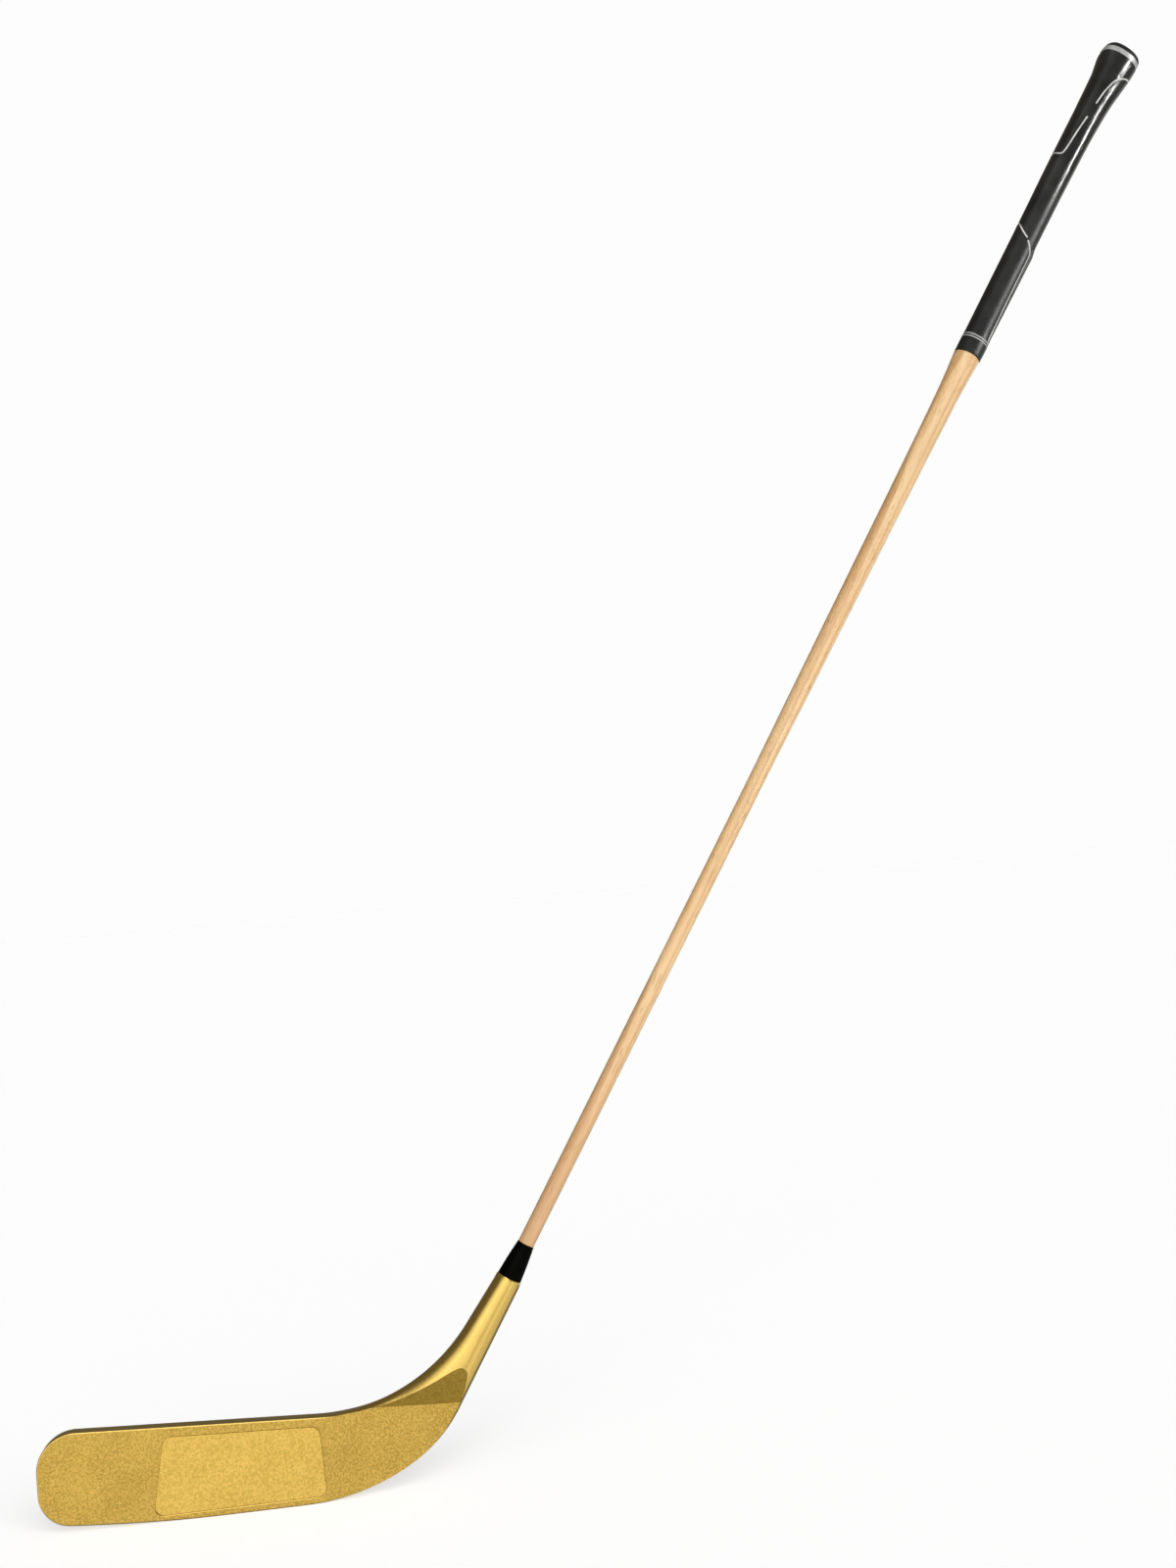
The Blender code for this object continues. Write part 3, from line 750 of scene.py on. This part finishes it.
def cap_mesh():
    """Domed end cap with its vent hole."""
    low = RING_PLACES[1]
    rings = []
    for i in range(CAP_STEPS + 1):
        rings.append(grip_ring(mix(low, GRIP_END, (i / CAP_STEPS) ** CAP_CROWDING), -CAP_SET_IN))
    rim = rings[-1]
    hole = circle(GRIP_MOUTH + GRIP_END, VENT_R, GRIP_SIDES)
    for share in CAP_INNER_RINGS:
        rings.append([p.lerp(q, share) for p, q in zip(rim, hole)])
    rings.append(circle(GRIP_MOUTH + low, VENT_R, GRIP_SIDES))
    return tube(rings)


def smooth_path(points, spacing):
    """Points along a smooth curve through (place, turn) pairs."""
    path = []
    for i in range(len(points) - 1):
        p0, p1, p2 = points[max(0, i - 1)], points[i], points[i + 1]
        p3 = points[min(len(points) - 1, i + 2)]
        reach = abs(p2[0] - p1[0]) + abs(p2[1] - p1[1]) * GRIP_BORE_R
        count = max(2, round(reach / spacing))
        for k in range(count):
            t = k / count
            path.append([
                0.5 * (2 * b + (c - a) * t + (2 * a - 5 * b + 4 * c - d) * t * t
                       + (3 * b - a - 3 * c + d) * t ** 3)
                for a, b, c, d in zip(p0, p1, p2, p3)
            ])
    return path + [list(points[-1])]


def line_mesh(points):
    """Crowned inlay that follows a path on the grip and stands slightly proud of it."""
    path = smooth_path(points, LINE_SPACING)
    spots = [grip_point(place, turn) for place, turn in path]
    mesh = bmesh.new()
    rows = []
    for i, (place, turn) in enumerate(path):
        centre = spots[i]
        along = (spots[min(i + 1, len(spots) - 1)] - spots[max(i - 1, 0)]).normalized()
        up_grip = grip_point(place + SMALL_PLACE, turn) - grip_point(place - SMALL_PLACE, turn)
        round_grip = grip_point(place, turn + SMALL_TURN) - grip_point(place, turn - SMALL_TURN)
        out = round_grip.cross(up_grip).normalized()
        if out.dot(centre - axis_point(GRIP_MOUTH + place, 0.0, 0.0)) < 0:
            out = -out
        across = along.cross(out).normalized()
        row = [centre + across * LINE_WIDTH * x + out * z for x, z in LINE_SECTION]
        rows.append([mesh.verts.new(p) for p in row])
    for near, far in zip(rows, rows[1:]):
        bridge(mesh, near, far, True)
    mesh.faces.new(rows[0])
    mesh.faces.new(rows[-1])
    bmesh.ops.recalc_face_normals(mesh, faces=mesh.faces)
    return mesh


# ---------------------------------------------------------------- materials

WORLD_TO_AXIS = (0.0, LIE - pi / 2, 0.0)


class Nodes:
    """Node-building shorthand."""

    def __init__(self, tree):
        self.tree = tree

    def node(self, kind, inputs=None, **settings):
        made = self.tree.nodes.new("ShaderNode" + kind)
        for name, value in settings.items():
            setattr(made, name, value)
        for socket, value in (inputs or {}).items():
            self.fill(made.inputs[socket], value)
        return made

    def fill(self, socket, value):
        """Link a socket's value, or set it."""
        if isinstance(value, bpy.types.NodeSocket):
            self.tree.links.new(value, socket)
        else:
            socket.default_value = value

    def ramp(self, fac, low, high, a=0.0, b=1.0):
        """A value stretched from between low and high to between a and b."""
        inputs = {0: fac, 1: low, 2: high, 3: a, 4: b}
        return self.node("MapRange", inputs, interpolation_type="SMOOTHSTEP").outputs[0]

    def math(self, operation, a, b):
        return self.node("Math", {0: a, 1: b}, operation=operation).outputs[0]

    def colours(self, fac, a, b):
        """A colour between two, each a socket or three numbers."""
        made = self.node("Mix", {0: fac}, data_type="RGBA")
        for index, colour in ((6, a), (7, b)):
            is_socket = isinstance(colour, bpy.types.NodeSocket)
            self.fill(made.inputs[index], colour if is_socket else (*colour, 1.0))
        return made.outputs[2]


class Look(Nodes):
    """One Principled material."""

    def __init__(self, name, **values):
        self.material = bpy.data.materials.new(name)
        self.material.use_nodes = True
        super().__init__(self.material.node_tree)
        self.shader = self.tree.nodes["Principled BSDF"]
        for socket, value in values.items():
            self.use(socket.replace("_", " "), value)

    def use(self, socket, value):
        self.fill(self.shader.inputs[socket], value)

    def place(self):
        """The object's own coordinates, in metres."""
        return self.node("TexCoord").outputs["Object"]

    def along_shaft(self, stretch=(1.0, 1.0, 1.0)):
        """Coordinates with z up the shaft's axis and x to its heel side, then scaled."""
        foot = (-AXIS_FOOT * sin(LIE), 0.0, -AXIS_FOOT * cos(LIE))
        inputs = {"Vector": self.place(), "Location": foot, "Rotation": WORLD_TO_AXIS}
        turned = self.node("Mapping", inputs).outputs[0]
        return self.node("Mapping", {"Vector": turned, "Scale": stretch}).outputs[0]

    def up_shaft(self):
        """Place on the shaft's axis."""
        return self.node("SeparateXYZ", {0: self.along_shaft()}).outputs["Z"]

    def noise(self, where, scale, detail=3.0, rough=0.55):
        inputs = {"Vector": where, "Scale": scale, "Detail": detail, "Roughness": rough}
        return self.node("TexNoise", inputs).outputs["Fac"]

    def blend(self, a, b, share):
        """Weighted sum of two values."""
        first = self.math("MULTIPLY", a, 1 - share)
        return self.math("ADD", first, self.math("MULTIPLY", b, share))

    def stain(self, base, amount, strength, colour):
        """A colour over a base where amount is high."""
        return self.colours(self.math("MULTIPLY", amount, strength), base, colour)

    def bump(self, *layers):
        """Bump from (height, distance in metres) layers, each on top of the one before."""
        normal = None
        for height, distance in layers:
            made = self.node("Bump", {"Height": height, "Distance": distance, "Strength": 1.0})
            if normal:
                self.tree.links.new(normal, made.inputs["Normal"])
            normal = made.outputs[0]
        self.use("Normal", normal)


def gold_look(name):
    """Plated metal: mottled tone, fine blasted grain, and roughness that follows the mottle."""
    dull, bright, roughness, grain, depth, coat = GOLDS[name]
    look = Look(name, Metallic=1.0, Coat_Weight=coat, Coat_Roughness=0.25)
    where = look.place()
    cloud = look.noise(where, CLOUD_SCALE, 4.0)
    mottle = look.noise(where, MOTTLE_SCALE, 2.0, 0.7)
    fine = look.noise(where, grain, 2.0, 0.6)
    tone = look.blend(cloud, mottle, 0.85)
    look.use("Base Color", look.colours(look.ramp(tone, 0.36, 0.64), dull, bright))
    look.use("Roughness", look.ramp(mottle, 0.3, 0.7, *roughness))
    look.bump((fine, depth), (mottle, depth * 0.6))
    return look.material


def wood_look():
    """Straight-grained pale wood: growth rings, fibres and pores that run up the shaft."""
    look = Look("Shaft_wood", Coat_Weight=0.6, Coat_Roughness=0.32)
    sway = look.noise(look.along_shaft((40.0, 40.0, 6.0)), 1.0, 3.0)
    rings = look.node("TexWave", {
        "Vector": look.along_shaft((1.0, 0.55, 0.018)), "Scale": 95.0, "Distortion": 5.0,
        "Detail": 2.0, "Detail Scale": 0.6, "Detail Roughness": 0.5,
    }, wave_type="BANDS", bands_direction="DIAGONAL", wave_profile="SAW").outputs["Fac"]
    fibre = look.noise(look.along_shaft((2600.0, 2600.0, 45.0)), 1.0, 2.0)
    pores = look.noise(look.along_shaft((1500.0, 1500.0, 90.0)), 1.0, 1.0)
    holes = look.ramp(pores, 0.63, 0.70)
    colour = look.colours(look.ramp(sway, 0.35, 0.65), WOOD_WARM, WOOD_PALE)
    colour = look.stain(colour, look.ramp(rings, 0.45, 1.0), 0.55, WOOD_LATE)
    colour = look.stain(colour, look.ramp(fibre, 0.5, 0.72), 0.35, WOOD_LATE)
    rosy = look.ramp(look.up_shaft(), *ROSY_PLACES, ROSY_SHARE, 0.0)
    colour = look.colours(rosy, colour, WOOD_ROSY)
    look.use("Base Color", look.stain(colour, holes, 0.55, WOOD_PORE))
    look.use("Roughness", look.ramp(fibre, 0.3, 0.7, 0.36, 0.52))
    look.bump((fibre, 0.00003), (look.math("SUBTRACT", 1.0, holes), 0.00002))
    return look.material


def rubber_look(name):
    """Moulded rubber with a fine leather-like skin, rougher on its lower half."""
    dark, light, roughness, depth, matt = RUBBERS[name]
    look = Look(name, Specular_IOR_Level=0.11)
    where = look.place()
    cell_inputs = {"Vector": where, "Scale": SKIN_SCALE}
    skin = look.node("TexVoronoi", cell_inputs, feature="DISTANCE_TO_EDGE").outputs["Distance"]
    dust = look.noise(where, 60.0, 4.0)
    fine = look.noise(where, 2400.0, 2.0)
    tone = look.blend(dust, fine, 0.4)
    look.use("Base Color", look.colours(look.ramp(tone, 0.35, 0.65), dark, light))
    low, high = (GRIP_MOUTH + place for place in MATT_PLACES)
    worn = look.ramp(look.up_shaft(), low, high, matt, 0.0)
    look.use("Roughness", look.math("ADD", look.ramp(dust, 0.3, 0.7, *roughness), worn))
    look.bump((look.ramp(skin, 0.0, 0.22), depth), (fine, depth * 0.3))
    return look.material


def plastic_look(name, **more):
    """Smooth moulded plastic with faint turning marks and handling haze."""
    dark, light, roughness = PLASTICS[name]
    look = Look(name, **more)
    turned = look.noise(look.along_shaft((30.0, 30.0, 2600.0)), 1.0, 2.0)
    haze = look.noise(look.place(), 120.0, 4.0)
    look.use("Base Color", look.colours(look.ramp(haze, 0.35, 0.65), dark, light))
    look.use("Roughness", look.ramp(haze, 0.3, 0.7, *roughness))
    look.bump((turned, 0.000004), (haze, 0.00002))
    return look.material


# ---------------------------------------------------------------- assembly

def sharpen(mesh, crease):
    """Smooth shading, with sharp edges round flats, at corners and where the finish changes."""
    for face in mesh.faces:
        face.smooth = True
    for edge in mesh.edges:
        if len(edge.link_faces) == 2:
            a, b = edge.link_faces
            flat = max(len(a.verts), len(b.verts)) > 4
            same = a.material_index == b.material_index
            edge.smooth = same and not flat and edge.calc_face_angle(0.0) < radians(crease)


def show(name, mesh, materials, crease, node=None):
    """Link a finished mesh as a piece that rides on the one body."""
    sharpen(mesh, crease)
    data = bpy.data.meshes.new(name)
    mesh.to_mesh(data)
    mesh.free()
    piece = bpy.data.objects.new(name, data)
    bpy.context.scene.collection.objects.link(piece)
    for material in materials:
        data.materials.append(material)
    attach(piece, "root")
    if node:
        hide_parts(node)
    return piece


def cut(piece, cutter_mesh, crease):
    """Take a cutter out of a piece for good."""
    data = bpy.data.meshes.new("cutter")
    cutter_mesh.to_mesh(data)
    cutter_mesh.free()
    cutter = bpy.data.objects.new("cutter", data)
    bpy.context.scene.collection.objects.link(cutter)
    boolean = piece.modifiers.new("cut", "BOOLEAN")
    boolean.operation = "DIFFERENCE"
    boolean.solver = "EXACT"
    boolean.object = cutter
    graph = bpy.context.evaluated_depsgraph_get()
    result = bpy.data.meshes.new_from_object(piece.evaluated_get(graph))
    piece.modifiers.remove(boolean)
    piece.data = result
    bpy.data.objects.remove(cutter)
    mesh = bmesh.new()
    mesh.from_mesh(result)
    sharpen(mesh, crease)
    mesh.to_mesh(result)
    mesh.free()


def paint(node, material):
    """A hidden CAD node keeps its mesh and takes a finished material."""
    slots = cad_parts[node].data.materials
    slots.clear()
    slots.append(material)


def mirrored(half):
    """A path over the toe or heel side from its front half, given as (place, degrees) pairs."""
    front = [(place, radians(turn)) for place, turn in half]
    if half[-1][1] == 180:
        return front + [(place, 2 * pi - turn) for place, turn in reversed(front[:-1])]
    return [(place, -turn) for place, turn in reversed(front[1:])] + front


def build_head():
    # the ramp's gold is the milled gold darkened: painted shade on the tilted ramp
    body, milled, bright, ramp = [gold_look(name) for name in GOLDS]
    head = show("Head", head_mesh(), [body, milled, ramp], HEAD_CREASE, "head")
    cut(head, pocket_mesh(), HEAD_CREASE)
    show("Face_insert", insert_mesh(), [bright], ROUND_CREASE, "face_insert")


def build_shaft():
    black = plastic_look("Ferrule_black", Specular_IOR_Level=0.02)
    show("Ferrule", ferrule_mesh(), [black], ROUND_CREASE, "ferrule")
    show("Shaft", shaft_mesh(), [wood_look()], ROUND_CREASE, "shaft")


def build_grip():
    rubber, cap = [rubber_look(name) for name in RUBBERS]
    grey = plastic_look("Ring_grey")
    pale = plastic_look("Line_grey")
    show("Grip_sleeve", sleeve_mesh(), [rubber], GRIP_CREASE, "grip_sleeve")
    ring = band_mesh(*RING_PLACES, -CAP_SET_IN, GRIP_BORE_R)
    show("Butt_ring", ring, [grey], GRIP_CREASE, "butt_ring")
    show("Grip_cap", cap_mesh(), [cap], GRIP_CREASE, "grip_cap")
    for name, half in GRIP_LINES:
        show("Line_" + name, line_mesh(mirrored(half)), [pale], ROUND_CREASE)
    for name, side in (("front", 1), ("back", -1)):
        path = [(place, side * radians(turn)) for place, turn in PALM_LINE]
        show("Line_palm_" + name, line_mesh(path), [pale], ROUND_CREASE)
    for name, place in zip(("low", "high"), MOUTH_RINGS):
        low, high = place - MOUTH_RING_HALF, place + MOUTH_RING_HALF
        ring = band_mesh(low, high, MOUTH_RING_LIFT, GRIP_BORE_R + MOUTH_RING_DEPTH)
        show("Mouth_ring_" + name, ring, [grey], GRIP_CREASE)


def build_hidden():
    paint("insert_adhesive", plastic_look("Bonding_film"))
    paint("hosel_epoxy", plastic_look("Epoxy"))
    paint("grip_tape", plastic_look("Tape"))


# ---------------------------------------------------------------- stage

def build_floor():
    data = bpy.data.meshes.new("Floor")
    mesh = bmesh.new()
    bmesh.ops.create_grid(mesh, x_segments=1, y_segments=1, size=FLOOR_HALF)
    mesh.to_mesh(data)
    mesh.free()
    floor = bpy.data.objects.new("Floor", data)
    bpy.context.scene.collection.objects.link(floor)
    look = Look("Floor_paper", Roughness=0.9, Specular_IOR_Level=0.0, Emission_Strength=FLOOR_GLOW)
    look.use("Base Color", (FLOOR_TONE, FLOOR_TONE, FLOOR_TONE, 1.0))
    look.use("Emission Color", (1.0, 1.0, 1.0, 1.0))
    data.materials.append(look.material)
    floor.visible_glossy = False


def towards_light(azimuth, elevation):
    """Unit vector towards a light."""
    a, e = radians(azimuth), radians(elevation)
    return Vector((sin(a) * cos(e), -cos(a) * cos(e), sin(e)))


def soft_boxes(nodes):
    """Summed strength of the soft boxes in the direction a ray looks."""
    looked = nodes.node("TexCoord").outputs["Generated"]
    total = None
    for azimuth, elevation, inner, outer, strength in SOFT_BOXES:
        inputs = {0: looked, 1: towards_light(azimuth, elevation)}
        facing = nodes.node("VectorMath", inputs, operation="DOT_PRODUCT").outputs["Value"]
        box = nodes.ramp(facing, cos(radians(outer)), cos(radians(inner)), 0.0, strength)
        total = box if total is None else nodes.math("ADD", total, box)
    return total


def build_world():
    """White for the camera; for light, a dim room with soft boxes."""
    world = bpy.data.worlds.new("Studio")
    bpy.context.scene.world = world
    world.use_nodes = True
    nodes = Nodes(world.node_tree)
    nodes.tree.nodes.clear()
    path = nodes.node("LightPath").outputs
    boxes = nodes.node("Background", {"Strength": soft_boxes(nodes)}).outputs[0]
    tint = nodes.colours(path["Is Glossy Ray"], (1.0, 1.0, 1.0), ROOM_TINT)
    room = nodes.node("Background", {"Color": tint, "Strength": ROOM}).outputs[0]
    lit = nodes.node("AddShader", {0: boxes, 1: room}).outputs[0]
    seen = nodes.node("Background", {"Color": (BACKDROP, BACKDROP, BACKDROP, 1.0)}).outputs[0]
    shown = nodes.node("MixShader", {0: path["Is Camera Ray"], 1: lit, 2: seen}).outputs[0]
    nodes.node("OutputWorld", {"Surface": shown})


def build_sun(name, azimuth, elevation, strength, spread, kind, lit):
    """A soft distant light for diffuse or for glossy surfaces, of all pieces or a few."""
    light = bpy.data.lights.new(name, "SUN")
    light.energy = strength
    light.angle = radians(spread)
    lamp = bpy.data.objects.new(name, light)
    bpy.context.scene.collection.objects.link(lamp)
    lamp.rotation_euler = towards_light(azimuth, elevation).to_track_quat("Z", "Y").to_euler()
    lamp.visible_diffuse = kind == "diffuse"
    lamp.visible_glossy = kind == "glossy"
    if lit:
        chosen = bpy.data.collections.new(name + "_lit")
        for piece in lit:
            chosen.objects.link(bpy.data.objects[piece])
        lamp.light_linking.receiver_collection = chosen


def build_camera():
    data = bpy.data.cameras.new("Camera")
    data.sensor_width = SENSOR_WIDTH
    data.lens = LENS
    data.clip_start, data.clip_end = CLIP
    camera = bpy.data.objects.new("Camera", data)
    bpy.context.scene.collection.objects.link(camera)
    back = (EYE - LOOK_AT).normalized()
    level = Vector((0.0, 0.0, 1.0)).cross(back).normalized()
    turned = Matrix.Rotation(-ROLL, 3, back) @ level
    upright = back.cross(turned)
    stance = Matrix((turned, upright, back)).transposed().to_4x4()
    camera.matrix_world = Matrix.Translation(EYE) @ stance
    bpy.context.scene.camera = camera


def main():
    build_head()
    build_shaft()
    build_grip()
    build_hidden()
    build_floor()
    build_world()
    for name, sun, kind, lit in SUNS:
        build_sun(name, *sun, kind, lit)
    build_camera()
    bpy.context.scene.view_settings.view_transform = "Standard"


main()
